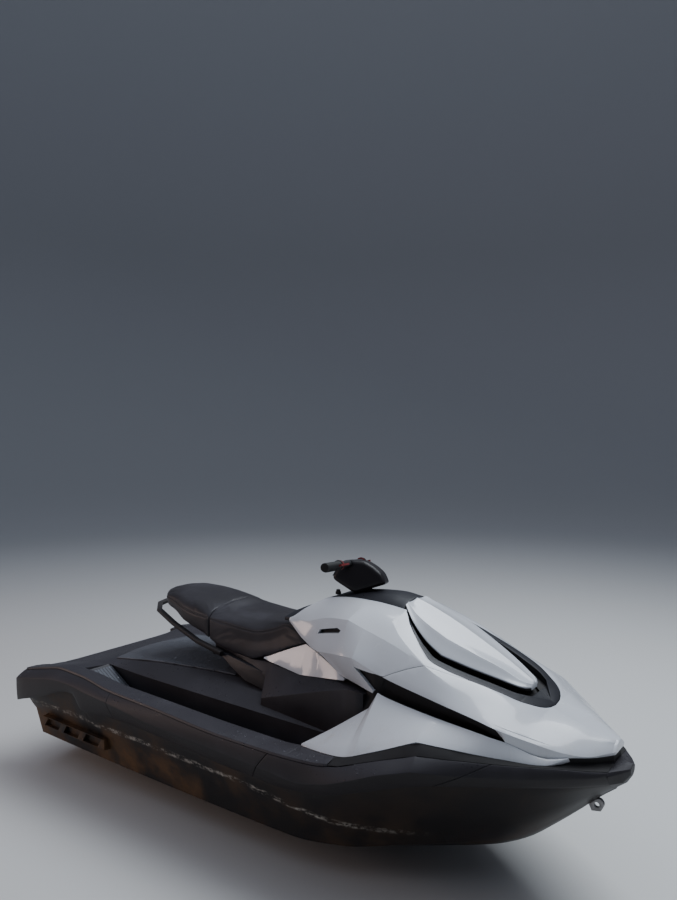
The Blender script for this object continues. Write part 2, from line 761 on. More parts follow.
@dataclass(frozen=True)
class Vinyl:
    """Soft black upholstery vinyl with a leather grain and a faint sheen."""

    name: str
    colour: Colour = (0.023, 0.021, 0.025)
    high: Colour = (0.056, 0.054, 0.066)
    grain: float = 520.0

    def mix(self) -> Material:
        """Makes the material.

        Returns:
            The material.
        """
        paint = Paint(self.name, self.colour, 0.42, Sheen_Weight=0.05, Sheen_Roughness=0.4, Specular_IOR_Level=0.35)
        near, _ = paint.cells(self.grain, 0.9)
        cloud = paint.noise(5.0, 4.0)
        dust = (cloud.step(0.42, 0.72) * 0.5 + near.step(0.5, 0.9) * 0.12).most(1.0)
        return paint.finish(paint.mixed(dust, self.colour, self.high), 0.36 + cloud * 0.16,
                            paint.bump(paint.noise(26.0), 0.0006, paint.bump(near, 0.00022)))


@dataclass(frozen=True)
class Metal:
    """Cast, brushed or coated metal with fine scratches."""

    name: str
    colour: Colour
    roughness: float
    metallic: float
    scratch: float = 0.00004

    def mix(self) -> Material:
        """Makes the material.

        Returns:
            The material.
        """
        paint = Paint(self.name, self.colour, self.roughness, Metallic=self.metallic)
        line = paint.noise(220.0, 3.0, 0.6, (0.08, 1.0, 1.0))
        tarnish = paint.noise(14.0, 5.0, 0.65)
        darker = tuple(c * 0.55 for c in self.colour)
        return paint.finish(paint.mixed(tarnish.step(0.45, 0.75) * 0.6, self.colour, darker),
                            self.roughness + tarnish * 0.2 + line * 0.08, paint.bump(line, self.scratch))


@dataclass(frozen=True)
class Gloss:
    """Small glossy plastic or glass piece with dust and fine wear."""

    name: str
    colour: Colour
    roughness: float

    def mix(self) -> Material:
        """Makes the material.

        Returns:
            The material.
        """
        paint = Paint(self.name, self.colour, self.roughness, Coat_Weight=0.5, Coat_Roughness=0.08)
        dust = paint.noise(70.0, 4.0, 0.7)
        lighter = tuple(min(1.0, c * 1.6 + 0.02) for c in self.colour)
        return paint.finish(paint.mixed(dust.step(0.55, 0.8) * 0.4, self.colour, lighter),
                            self.roughness + dust * 0.2, paint.bump(dust, 0.00003))


# Every finish, most of them under the record's material slot that they are for
FINISHES = {
    "white_skin": Gelcoat("White gelcoat"),
    "deck": Moulding("Charcoal deck"),
    "bumper": Moulding("Charcoal bumper", (0.020, 0.018, 0.021), (0.050, 0.047, 0.056), 0.5, 1100.0, 0.00016),
    "trim": Moulding("Satin trim", (0.014, 0.014, 0.018), (0.026, 0.027, 0.033), 0.42, 1400.0, 0.00006, 0.6),
    "core": Moulding("Dark inner moulding", (0.010, 0.009, 0.010), (0.024, 0.022, 0.023), 0.6, 900.0, 0.0001, 0.0),
    "hull": StainedHull("Stained dark hull"),
    "mat": FoamMat("Grooved foam"),
    "seat": Vinyl("Black vinyl"),
    "thread": Gloss("Grey thread", (0.05, 0.05, 0.058), 0.6),
    "handle": Moulding("Grained handle", (0.018, 0.016, 0.017), (0.05, 0.045, 0.045), 0.5, 700.0, 0.0002, 0.3),
    "grip": Moulding("Black rubber", (0.012, 0.012, 0.013), (0.03, 0.03, 0.03), 0.65, 1600.0, 0.0001, 0.0),
    "pod": Moulding("Glossy black pod", (0.012, 0.010, 0.012), (0.020, 0.018, 0.020), 0.4, 1500.0, 0.00003, 0.0),
    "bar": Metal("Coated steel", (0.03, 0.03, 0.033), 0.4, 0.6),
    "steel": Metal("Stainless steel", (0.34, 0.33, 0.33), 0.34, 1.0),
    "pump": Metal("Dark cast alloy", (0.10, 0.10, 0.105), 0.45, 0.8, 0.0003),
    "lever": Gloss("Red switch", (0.16, 0.010, 0.010), 0.35),
    "display": Gloss("Display cover", (0.006, 0.007, 0.010), 0.06),
    "case": Metal("Coated case", (0.14, 0.145, 0.155), 0.5, 0.5),
}


class Row:
    """Geometry Nodes that set a small round body at even steps along a path."""

    def __init__(self) -> None:
        """Builds the tree."""
        self.tree = tree = bpy.data.node_groups.new("Row along a path", "GeometryNodeTree")
        for name, kind in (("Path", "Geometry"), ("Pitch", "Float"), ("Length", "Float"), ("Radius", "Float"),
                           ("Sides", "Int"), ("Finish", "Material")):
            tree.interface.new_socket(name, in_out="INPUT", socket_type="NodeSocket" + kind)
        tree.interface.new_socket("Row", in_out="OUTPUT", socket_type="NodeSocketGeometry")
        given, out, steps, body, turn, along, place, real, finish = (tree.nodes.new(kind) for kind in (
            "NodeGroupInput", "NodeGroupOutput", "GeometryNodeResampleCurve", "GeometryNodeMeshCylinder",
            "FunctionNodeAlignRotationToVector", "GeometryNodeInputTangent", "GeometryNodeInstanceOnPoints",
            "GeometryNodeRealizeInstances", "GeometryNodeSetMaterial"))
        steps.mode, turn.axis = "LENGTH", "Z"
        for source, output, target, socket in (
                (given, "Path", steps, "Curve"), (given, "Pitch", steps, "Length"), (given, "Sides", body, "Vertices"),
                (given, "Radius", body, "Radius"), (given, "Length", body, "Depth"), (along, 0, turn, "Vector"),
                (steps, 0, place, "Points"), (body, "Mesh", place, "Instance"), (turn, 0, place, "Rotation"),
                (place, 0, real, 0), (real, 0, finish, "Geometry"), (given, "Finish", finish, "Material"),
                (finish, 0, out, 0)):
            tree.links.new(source.outputs[output], target.inputs[socket])

    def along(self, name: str, paths: Iterable[Sequence[Vector]], paint: Material, **sizes: float) -> Thing:
        """Sets the bodies along paths.

        Args:
            name: The object's name.
            paths: Points of each path, in metres.
            paint: Material of the bodies.
            sizes: Pitch, Length, Radius and Sides of the bodies.

        Returns:
            A plain mesh object.
        """
        curve = bpy.data.curves.new(name + "_path", "CURVE")
        curve.dimensions = "3D"
        for points in paths:
            run = curve.splines.new("POLY")
            run.points.add(len(points) - 1)
            for target, point in zip(run.points, points):
                target.co = (*point, 1.0)
        carrier = linked(name + "_path", curve)
        rows = carrier.modifiers.new("Row", "NODES")
        rows.node_group = self.tree
        known = {s.name: s.identifier for s in self.tree.interface.items_tree if s.in_out == "INPUT"}
        for label, value in {**sizes, "Finish": paint}.items():
            rows[known[label]] = value
        mesh = evaluated(carrier)
        bpy.data.objects.remove(carrier)
        shaded(mesh)
        return linked(name, mesh)


@dataclass
class Dresser:
    """Puts pieces on the craft's bodies and keeps count of them."""

    paints: dict[str, Material]
    row: Row
    made: int = 0

    def put(self, name: str, bm: Mesh, slot: str, soften: float = 2.0, angle: float = 24.0, paint: str = "",
            second: str = "", body: str = "craft", nodes: Sequence[str] | None = None,
            cutters: Sequence[Thing] = ()) -> Thing:
        """Makes a piece with softened edges and puts it on a body.

        Args:
            name: The piece's name in small letters.
            bm: Its mesh.
            slot: The record's material slot.
            soften: Width of the rounding along its edges, in millimetres.
            angle: Angle over which an edge is rounded, in degrees.
            paint: Its finish, if that isn't the slot's own.
            second: The finish of the faces that have its number.
            body: The body that it rides on.
            nodes: CAD nodes that it stands for, if that isn't the one with its name.
            cutters: Bodies to cut out of it before its edges are softened.

        Returns:
            The piece.
        """
        made = new_object(name.capitalize(), bm, self.paints[paint or slot])
        if second:
            made.data.materials.append(self.paints[second])
        cut_out(made, *cutters)
        if soften:
            softened(made, soften, angle)
        return self.seat(made, slot, [name] if nodes is None else nodes, body)

    def copy(self, node: str, slot: str, soften: float, paint: str = "", body: str = "craft") -> Thing:
        """Puts a softened copy of a CAD node on a body."""
        return self.put(node, from_node(node), slot, soften, paint=paint, body=body)

    def seat(self, made: Thing, slot: str, nodes: Sequence[str] = (), body: str = "craft") -> Thing:
        """Puts a finished piece on a body, with its slot and the nodes that it stands for.

        Args:
            made: The piece.
            slot: The record's material slot.
            nodes: CAD nodes that it stands for.
            body: The body that it rides on.

        Returns:
            The same piece.
        """
        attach(made, body)
        if nodes:
            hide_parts(*nodes)
        self.made += 1
        log.info("%s: %d faces", made.name, len(made.data.polygons))
        return made


@dataclass
class Studio:
    """Pale floor, soft lights and the camera at the fitted place."""

    eye: Triple = (2.121, -2.591, 1.391)
    heading: float = 36.447
    focal_px: float = 735.314
    picture: tuple[int, int] = (677, 900)
    horizon_row: float = 345.0
    bow_up: float = 4.099
    heel: float = -5.278
    floor_z: float = -304.5
    # Radii of the flat floor's rings, radius of its curved rim, and the height that it rises to
    flat: tuple[float, ...] = (2500, 6000, 9000)
    rim: float = 6000
    top: float = 14000
    pale: Colour = (0.66, 0.66, 0.65)
    distant: Colour = (0.30, 0.31, 0.33)

    def camera(self) -> None:
        """Aims the camera, which takes up the craft's trim and heel in the picture."""
        pitch = math.atan((self.picture[1] / 2 - self.horizon_row) / self.focal_px)
        heading, rise, roll = (math.radians(v) for v in (self.heading, self.bow_up, self.heel))
        forward = Vector((-math.sin(heading) * math.cos(pitch), math.cos(heading) * math.cos(pitch), -math.sin(pitch)))
        right = Vector((math.cos(heading), math.sin(heading), 0.0))
        lean = Matrix.Rotation(-rise, 3, "Y") @ Matrix.Rotation(roll, 3, "X")
        axes = [lean.transposed() @ v for v in (right, right.cross(forward), -forward)]
        lens = bpy.data.cameras.new("Camera")
        lens.sensor_width, lens.lens = 36.0, 36.0 * self.focal_px / self.picture[1]
        lens.clip_end = 200.0
        made = linked("Camera", lens)
        made.matrix_world = Matrix.Translation(self.eye) @ Matrix(axes).transposed().to_4x4()
        bpy.context.scene.camera = made

    def light(self, name: str, place: Sequence[float], aim: Sequence[float], size: Point, watts: float,
              tint: Colour) -> None:
        """Hangs one soft rectangular light.

        Args:
            name: The light's name.
            place: Where it hangs.
            aim: The point that it faces.
            size: Its two sides in metres.
            watts: Its power.
            tint: Its colour.
        """
        lamp = bpy.data.lights.new(name, "AREA")
        lamp.shape, (lamp.size, lamp.size_y), lamp.energy, lamp.color = "RECTANGLE", size, watts, tint
        back = Vector(place) - Vector(aim)
        turn = back.to_track_quat("Z", "Y").to_matrix().to_4x4()
        linked(name, lamp).matrix_world = Matrix.Translation(place) @ turn

    def build(self) -> None:
        """Makes the floor with its curved rim, the lights and the camera."""
        paint = Paint("Pale floor", self.pale, 0.75)
        away = (paint.x**2.0 + paint.y**2.0).maths("SQRT")
        tone = paint.mixed(away.step(3.5, 12.0), self.pale, self.distant)
        finish = paint.finish(tone, 0.7 + paint.noise(0.8) * 0.1)
        flat, rim = self.flat[-1], self.rim
        profile = [(radius, 0) for radius in self.flat]
        profile += [(flat + rim * math.sin(a), rim - rim * math.cos(a)) for a in np.linspace(0.1, math.pi / 2, 18)]
        profile += [(flat + rim, self.top)]
        turns = [2 * math.pi * i / 96 for i in range(96)]
        bowl = skinned([[(r * math.cos(a), r * math.sin(a), self.floor_z + z) for a in turns] for r, z in profile],
                       (True, False))
        new_object("Floor", bowl, finish, 60.0)
        scene = bpy.context.scene
        scene.world = bpy.data.worlds.new("World")
        scene.world.use_nodes = True
        sky = scene.world.node_tree.nodes["Background"]
        sky.inputs[0].default_value, sky.inputs[1].default_value = (0.78, 0.85, 1.0, 1.0), 0.55
        self.light("Overhead", (1.4, 1.6, 4.6), (0.3, 0.0, 0.3), (5.0, 3.0), 260.0, (0.88, 0.94, 1.0))
        self.light("Warm side", (-5.0, -3.6, 1.5), (0.0, 0.0, 0.3), (2.4, 1.6), 60.0, (1.0, 0.74, 0.64))
        self.camera()
        view = scene.view_settings
        view.view_transform, view.look, view.exposure = "AgX", "AgX - Base Contrast", 0.0


def upper_edge(x: float) -> Point:
    """Top edge of the fairing, the hood or the nose at a station."""
    return at("dash" if x <= DASH_FRONT else "trim" if x <= TRIM_FRONT else "brow", x)


def lower_edge(x: float) -> Point:
    """Bottom edge of the fairing or the hood, inside the long slot, at a station."""
    return at("arm" if x <= DASH_FRONT else "skirt", x)


def wing_skin(x: float) -> float:
    """Thickness of the wing at a station."""
    return min(SKIN, at("wing_low", x)[1] - at("rub", x)[1] - 4)


def hood_skin(x: float) -> float:
    """Thickness of the fairing and the hood at a station, thin at the fairing's rear end."""
    return min(SKIN, 2 + (x - DASH_REAR) / 6)


def ceiling(x: float, y: float) -> float:
    """Height under the outer mouldings at a place, which the frame below has to keep under.

    Args:
        x: Station.
        y: Distance from the centreline.

    Returns:
        The height, without a limit where nothing lies over the place.
    """
    top, fold, edge = upper_edge(x), at("fold", x), at("edge", x)
    if abs(y) >= top[0]:
        return float(np.interp(abs(y), [top[0], fold[0], edge[0]], [top[1], fold[1], edge[1]])) - SKIN - 1
    if x <= DASH_FRONT:
        return float(np.interp(abs(y), [0, top[0]], [at("dash_top", x)[1], top[1]])) - SKIN - 1
    return top[1] - TRIM_THICK - 1 if abs(y) > at("lid", x)[0] + 2 else math.inf


def tucked(name: str) -> Mesh:
    """A copy of a CAD node, with its points lowered that would come through the mouldings over it.

    Args:
        name: The CAD node's name.

    Returns:
        The mesh.
    """
    bm = from_node(name)
    for v in bm.verts:
        if DASH_REAR * MM < v.co.x < NOSE_FRONT * MM:
            v.co.z = min(v.co.z, ceiling(v.co.x / MM, v.co.y / MM) * MM)
    return bm


@dataclass
class Hull:
    """Vee hull with its chine and spray rail, and the sponsons and eyes on it."""

    # Front, half-width and top of the notch over the jet, and of the tunnel in front of it
    notch: Triple = (-1130.0, 175.0, 40.0)
    tunnel: Triple = (-560.0, 95.0, -65.0)
    intake: tuple[Point, ...] = ((-560.0, -240), (-850, -65.0))
    transom: float = -1380.0
    behind: float = -1500.0
    bottom: float = -400.0
    # How far the top edge is set in under the bumper
    inset: tuple[Sequence[float], Sequence[float]] = ((STERN, -935, -890, 1100, NOSE_FRONT), (36, 36, 14, 10, 4))
    # Middles of the sponsons' recesses, the outline of each, and how deep they go from the side
    recesses: tuple[float, ...] = (-1190, -1030, -870)
    slant: tuple[Point, ...] = ((-72, -85), (44, -85), (72, -45), (-44, -45))
    recess_y: Point = (510, 560)

    def outline(self, x: float) -> Outline:
        """The hull's section at a station.

        Args:
            x: Station.

        Returns:
            The outline.
        """
        foot_y, foot_z = at("foot", x)
        wall, flange, ledge = at("wall", x)[0] - SEAT_GAP, at("flange", x)[1], foot_z - SEAT_GAP
        keel, chine, rail = at("keel", x), at("chine", x), at("rail", x)
        top = (foot_y - float(np.interp(x, *self.inset)), ledge)
        return whole([keel, *crowned(keel, chine, -4.0)[1:], chine, rail, *crowned(rail, top, -2.0)[1:],
                      top, (wall, ledge), (wall, flange), (0, flange)])

    def build(self, dresser: Dresser) -> None:
        """Makes the hull and what is fixed to it.

        Args:
            dresser: Puts the pieces on the craft.
        """
        notch_x, notch_y, notch_top = self.notch
        front, width, roof = self.tunnel
        stern, low, mouth = self.behind, self.bottom, notch_x - 1
        cutters = [prism([(stern, low), (notch_x, low), (notch_x, notch_top), (stern, notch_top)], -notch_y, notch_y),
                   prism([(mouth, low), (front, low), *self.intake, (mouth, roof)], -width, width)]
        skin = loft((x, self.outline(x)) for x in stations(self.transom, NOSE_FRONT, 30))
        dresser.put("hull", skin, "hull", 4.0, 22.0, cutters=cutters)
        for sign, word in ((1, "left"), (-1, "right")):
            cutters = [prism([(middle + x, z) for x, z in self.slant], *(sign * y for y in self.recess_y))
                       for middle in self.recesses]
            node = f"sponson_{word}"
            dresser.put(node, from_node(node), "trim", 3.0, paint="hull", cutters=cutters)
        dresser.copy("bow_eye", "steel", 2.0)
        dresser.copy("stern_eyes", "steel", 1.5)


@dataclass
class Deck:
    """Deck moulding with its footwells, the frame under the hood and the seat's pedestal."""

    stern_x: float = -1368.0
    corner_rear: float = -1436.0
    lip: Point = (5, 10)
    gunwale: tuple[Point, ...] = ((0, 0), (4, 0.3), (8, 1), (12, 2.5))
    under_wing: float = 34.0
    corner_in: float = 430.0
    well_floor: float = 62.0
    well_in: float = 322.0
    # How far the footwell's walls, and the steps behind them, lean in
    well_lean: float = 6.0
    # Where the footwell's floor rises at its ends: two stations and the height reached
    rear: Triple = (-1010.0, -720.0, 222.0)
    front: Triple = (400.0, 560.0, 190.0)
    mat_thick: float = 6.0
    plate_corners: tuple[Triple, ...] = (
        (-365, 202, 379), (-69, 216, 337), (-45, 216, 337), (-15, 237, 279),
        (-47, 240, 269), (-154, 235, 285), (-255, 221, 325))
    mat_plan: tuple[Point, ...] = ((-1115, 60), (-1035, 262), (-1000, 262), (-700, 252), (-376, 208), (-252, 198))

    def foundation(self, x: float) -> Outline:
        """Underside and side of the deck, up to the lip over the bumper.

        Args:
            x: Station.

        Returns:
            Half of the outline, from the centreline.
        """
        rub_y, rub_z = at("rub", x)
        wall, base = at("wall", x)[0] - SEAT_GAP, at("flange", x)[1] + SEAT_GAP
        return [(0, base), (wall, base), (wall, rub_z + PANEL_GAP), (rub_y, rub_z + PANEL_GAP),
                (rub_y - self.lip[0], rub_z + self.lip[1])]

    def shoulder(self, x: float) -> Outline:
        """Deck under the wing, or the narrow strip of the gunwale behind it.

        Args:
            x: Station.

        Returns:
            The outline's points from the side inwards.
        """
        if x < WING_REAR:
            band_y, band_z = at("band", x)
            return [(band_y - inwards, band_z - drop) for inwards, drop in self.gunwale]
        (low_y, low_z), (top_y, top_z) = at("wing_low", x), at("wing_top", x)
        skin = wing_skin(x) + SEAT_GAP
        return [(low_y, low_z - PANEL_GAP), (low_y - skin, low_z - skin), (top_y - skin, top_z - skin),
                (top_y - self.under_wing, top_z - skin)]

    def floor(self, x: float) -> float:
        """Height of the footwell's floor at a station.

        Args:
            x: Station.

        Returns:
            The height.
        """
        ramp, flat, top = self.rear
        foot, end, high = self.front
        if x < flat:
            return self.well_floor + (flat - x) / (flat - ramp) * (top - self.well_floor)
        return self.well_floor + max(0.0, x - foot) / (end - foot) * (high - self.well_floor)

    def outline(self, x: float) -> Outline:
        """The deck's section at a station.

        Args:
            x: Station.

        Returns:
            The outline.
        """
        (crease_y, crease_z), (mat_y, mat_z), ledge = at("crease", x), at("mat", x), self.shoulder(x)
        inner_y, inner_z = ledge[-1]
        if x <= self.rear[0]:
            well = [(inner_y - self.well_lean, inner_z - 1), (crease_y + self.well_lean, crease_z - 0.5)]
        else:
            well = [(inner_y - self.well_lean, self.floor(x)), (self.well_in, self.floor(x))]
        return whole([*self.foundation(x), *ledge, *well, (crease_y, crease_z), (mat_y, mat_z), (0, mat_z - 0.3)])

    def corner(self, x: float) -> Outline:
        """Section of the stern corner behind the deck's rear edge."""
        return [(self.corner_in, at("flange", x)[1] + SEAT_GAP), *self.foundation(x)[1:], at("band", x),
                (self.corner_in, at("band", x)[1] - 5)]

    def plate(self, side: Side) -> Mesh:
        """The thin plate that hangs from the pedestal over the deck's shoulder."""
        return skinned([(x, side.value * (y + out), z) for x, y, z in self.plate_corners] for out in (-14, 3))

    def mat(self) -> Mesh:
        """The foam mat on the raised middle.

        Returns:
            The mesh.
        """
        marks = [x for x, _ in self.mat_plan]
        plan = Line([(x, breadth, 0) for x, breadth in self.mat_plan], marks)
        sections = []
        for x in stations(marks[0], marks[-1], 25, marks):
            breadth, z = plan.at(x)[0], at("mat", x)[1] + SEAT_GAP
            top = z + self.mat_thick
            sections.append((x, [(-breadth, z), (breadth, z), (breadth, top), (-breadth, top)]))
        return loft(sections)

    def build(self, dresser: Dresser) -> None:
        """Makes the deck and what is fixed to it.

        Args:
            dresser: Puts the pieces on the craft.
        """
        marks = [self.rear[0], self.rear[0] + 1, self.rear[1], self.front[0], WING_REAR, WING_REAR - 1]
        main = loft((x, self.outline(x)) for x in stations(self.stern_x, self.front[1], 24, marks))
        ends = [(x, self.corner(x)) for x in stations(self.corner_rear, self.stern_x, 17)]
        dresser.put("deck", joined(main, *(loft(ends, side.value) for side in Side)), "deck", 5.0, 20.0)
        dresser.put("deck_bow", tucked("deck_bow"), "deck", 1.0, paint="core")
        dresser.copy("pedestal", "deck", 4.0)
        dresser.put("pedestal_plates", joined(*(self.plate(side) for side in Side)), "trim", 1.2, nodes=())
        dresser.copy("storage_bin", "bin", 1.5, "core")
        dresser.put("deck_mat", self.mat(), "mat", 1.5)
        dresser.copy("footwell_mats", "mat", 1.5)


@dataclass
class Bumper:
    """Padded bumper round the craft, in seven lengths with slanted seams."""

    # Stations of each seam's top and bottom, and the ends of the lofts that the lengths are cut from
    seams: tuple[Point, ...] = ((-680, -650), (294, 200), (1085, 920))
    lofts: tuple[Point, ...] = ((STERN, -600), (-760, WING_REAR), (100, TRIM_FRONT))
    bow_rear: float = 860
    half_gap: float = 1.4
    nose: tuple[Section, ...] = (
        (NOSE_FRONT, [(0, 158), (30, 166), (92, 201), (119, 237), (109, 250), (0, 256)]),
        (1425, [(0, 184), (20, 190), (52, 202), (64, 238), (60, 247), (0, 256)]),
        (1443.5, [(0, 214), (10, 217), (22, 224), (27, 237), (25, 243), (0, 254)]))

    def outline(self, x: float) -> Outline:
        """The bumper's section at a station."""
        rub, foot, bulge, wall = at("rub", x), at("foot", x), at("bulge", x), at("wall", x)[0]
        return [*crowned(rub, bulge, 2.5), *crowned(bulge, foot, 2.0), foot, (wall, foot[1]), (wall, rub[1])]

    def length(self, rear: float, front: float, side: Side, rear_seam: Point | None, front_seam: Point | None) -> Mesh:
        """One length of the bumper between its seams, given as the stations of their top and bottom.

        Args:
            rear: First station of the loft.
            front: Last station of the loft.
            side: Side of the craft.
            rear_seam: The seam behind, or None for the craft's end.
            front_seam: The seam in front, or None for the loft's end.

        Returns:
            The mesh.
        """
        keep = (*CORNERS["rub"], *CORNERS["bulge"])
        bm = loft([(x, self.outline(x)) for x in stations(rear, front, 20, keep)], side.value)
        for seam, shift, turn in ((rear_seam, self.half_gap, -1), (front_seam, -self.half_gap, 1)):
            if seam:
                top_x, low_x = seam
                top_z = at("rub", top_x)[1]
                rise = top_z - at("foot", low_x)[1]
                cut(bm, (top_x + shift, 0, top_z), (turn * rise, 0, turn * (low_x - top_x)))
        return bm

    def build(self, dresser: Dresser) -> None:
        """Makes the seven lengths.

        Args:
            dresser: Puts the pieces on the craft.
        """
        for side, word in WORDS:
            for part, ends, *seams in zip(("stern", "side", "front"), self.lofts, (None, *self.seams), self.seams):
                dresser.put(f"bumper_{part}_{word}", self.length(*ends, side, *seams), "bumper", 6.0, 18.0)
        bow = [self.length(self.bow_rear, NOSE_FRONT, side, self.seams[-1], None) for side in Side]
        tip = loft((x, whole(half)) for x, half in self.nose)
        dresser.put("bumper_bow", joined(*bow, tip), "bumper", 5.0, 18.0)


@dataclass
class WhiteSkin:
    """White panels: the wings, the side fairings and the hood."""

    vent: tuple[Point, ...] = ((252, 557), (259, 575), (372, 605), (398, 602), (392, 591))
    slot: tuple[Point, ...] = ((508, 496), (645, 489), (720, 489), (720, 380), (640, 396), (612, 426), (590, 438))
    # The ridge on the flank: its least height and what its middle adds, where it runs down from the top edge
    # towards the fold, and where it turns back up
    ridge: Point = (2.5, 8.0)
    ridge_down: Point = (340, 800)
    ridge_up: Point = (800, 920)
    # First and last station of the fairing and the wing, and the last one of the gasket
    fairing_ends: Point = (62, 934)
    wing_front: float = 1286
    gasket_front: float = 930
    # Station in front of the seam that splits the hood's sides
    split: float = 958
    # Stations that the lofts have to keep
    wing_marks: tuple[float, ...] = (600, 632, 855, 1233)
    trim_marks: tuple[float, ...] = CORNERS["trim"][1:]
    tip_marks: tuple[float, ...] = (1068, 1112, 1140, 1154, 1165, 1172)
    # Stations of the nose's wall, with how far it shrinks there
    wall: tuple[Point, ...] = ((1376, 3.0), (1390, 0.2), (1396, 1.2), (1400, 4.0), (1402, 8.0))

    def wing(self, x: float) -> Outline:
        """The wing's section at a station."""
        low, top, skin = at("wing_low", x), at("wing_top", x), wing_skin(x)
        return [*crowned(low, top, -3.0), top, (top[0] - skin, top[1] - skin), (low[0] - skin, low[1] - skin)]

    def flank(self, x: float) -> Outline:
        """Outer and inner skin of the fairing and hood, from the top edge down and back up.

        Args:
            x: Station.

        Returns:
            The outline.
        """
        if DASH_FRONT < x < SKIRT_REAR:
            share = (x - DASH_FRONT) / (SKIRT_REAR - DASH_FRONT)
            return between(self.flank(DASH_FRONT), self.flank(SKIRT_REAR), share)
        top, fold, edge, low, skin = upper_edge(x), at("fold", x), at("edge", x), lower_edge(x), hood_skin(x)
        way = ramp(x, *self.ridge_down)
        share, rise = 0.15 + 0.7 * way, self.ridge[0] + self.ridge[1] * math.sin(math.pi * way)
        share -= 0.35 * ramp(x, *self.ridge_up)
        run = math.hypot(fold[0] - top[0], fold[1] - top[1])
        ridge = (top[0] + share * (fold[0] - top[0]) - rise * (fold[1] - top[1]) / run,
                 top[1] + share * (fold[1] - top[1]) + rise * (fold[0] - top[0]) / run)
        lift, lift_low = (-skin * 0.25, 1) if x <= DASH_FRONT else (8, 6)
        inside = [(low[0] - skin * 0.8, low[1] + lift_low), (edge[0] - skin, edge[1] + lift),
                  (fold[0] - skin * 0.6, fold[1] - skin), (top[0], top[1] - skin)]
        return [*crowned(top, ridge, 1.0, 1), *crowned(ridge, fold, 1.0, 1), *crowned(fold, edge, 1.5), edge, low,
                *inside]

    def strip(self, rear: float, front: float, side: Side, keep: Iterable[float],
              caps: tuple[bool, bool] = (True, True)) -> Mesh:
        """A length of the flank on one side."""
        return loft([(x, self.flank(x)) for x in stations(rear, front, 18, keep)], side.value, caps)

    def seam_cut(self, bm: Mesh, side: Side, shift: float, forward: bool) -> Mesh:
        """Cuts along the seam from the fairing to the hood.

        Args:
            bm: The mesh, which is changed.
            side: Side of the craft.
            shift: How far the cut lies in front of the seam.
            forward: Whether what lies in front of the cut goes.

        Returns:
            The same mesh.
        """
        run, out = SEAM_FRONT[0] - SEAM_REAR[0], SEAM_FRONT[1] - SEAM_REAR[1]
        sign = 1 if forward else -1
        return cut(bm, (SEAM_REAR[0] + shift, side.value * SEAM_REAR[1], 0), (-out * sign, side.value * run * sign, 0))

    def fairing(self, side: Side) -> Mesh:
        """One side fairing."""
        bm = self.strip(*self.fairing_ends, side, (264, WING_REAR, 425, 510, DASH_FRONT, SKIRT_REAR, *self.trim_marks))
        return self.seam_cut(bm, side, -PANEL_GAP, True)

    def hood(self) -> Mesh:
        """The hood: a strip on each side and the nose in front of the lid's surround.

        Returns:
            The mesh.
        """
        strips = []
        for side in Side:
            rear = self.strip(SKIRT_REAR, self.split, side, self.trim_marks, (True, False))
            strips.append(self.seam_cut(rear, side, PANEL_GAP, False))
            strips.append(self.strip(self.split, TRIM_FRONT, side, self.tip_marks, (False, False)))
        sections = []
        for x in stations(TRIM_FRONT, NOSE_FRONT, 18):
            top = at("hood_top", x)[1]
            sections.append((x, whole([(0, top - SKIN), *reversed(self.flank(x)), (0, top)])))
        nose = loft(sections, 1.0, (False, True))
        (brow_y, brow_z), top = at("brow", TRIM_FRONT), at("hood_top", TRIM_FRONT)[1]
        ring = [(brow_y, brow_z), (0, top), (-brow_y, brow_z), (-brow_y, brow_z - SKIN), (0, top - SKIN),
                (brow_y, brow_z - SKIN)]
        middle = bmesh.new()
        middle.faces.new([middle.verts.new((TRIM_FRONT * MM, y * MM, z * MM)) for y, z in ring])
        return joined(joined(*strips, nose, middle, weld=2e-5), self.tip())

    def tip(self) -> Mesh:
        """The rounded front wall of the nose.

        Returns:
            The mesh.
        """
        sections = []
        for x, shrink in self.wall:
            end = min(x, NOSE_FRONT)
            low, edge, fold, brow, top = (at(line, end) for line in ("skirt", "edge", "fold", "brow", "hood_top"))
            half = [(0, low[1]), low, edge, fold, brow, (0, top[1])]
            middle = (low[1] + top[1]) / 2
            narrow, flat = 1 - shrink / 50, 1 - shrink / 25
            sections.append((x, whole([(y * narrow, middle + (z - middle) * flat) for y, z in half])))
        return loft(sections)

    def gasket(self, side: Side) -> Mesh:
        """Dark strip at the bottom of the seam between the fairing and the hood.

        Args:
            side: Side of the craft.

        Returns:
            The mesh.
        """
        bm = self.strip(SKIRT_REAR, self.gasket_front, side, self.trim_marks)
        self.seam_cut(bm, side, PANEL_GAP, True)
        self.seam_cut(bm, side, -PANEL_GAP, False)
        bm.normal_update()
        for v, push in [(v, v.normal * 1.6 * MM) for v in bm.verts]:
            v.co -= push
        return bm

    def build(self, dresser: Dresser) -> None:
        """Makes the white panels, with the vent and the rear end of the long slot cut through the fairings.

        Args:
            dresser: Puts the pieces on the craft.
        """
        for side, word in WORDS:
            xs = stations(WING_REAR, self.wing_front, 20, self.wing_marks)
            dresser.put(f"wing_{word}", loft([(x, self.wing(x)) for x in xs], side.value), "white_skin", 3.5, 20.0)
            cut_out(dresser.put(f"fairing_{word}", self.fairing(side), "white_skin", 4.0, 14.0),
                    prism(self.vent, -330.0, 330.0), prism(self.slot, side.value * 290.0, side.value * 380.0))
        dresser.put("hood", self.hood(), "white_skin", 4.0, 14.0)
        gaskets = joined(*(self.gasket(side) for side in Side))
        dresser.put("seam_gaskets", gaskets, "trim", 0.0, paint="core", nodes=())


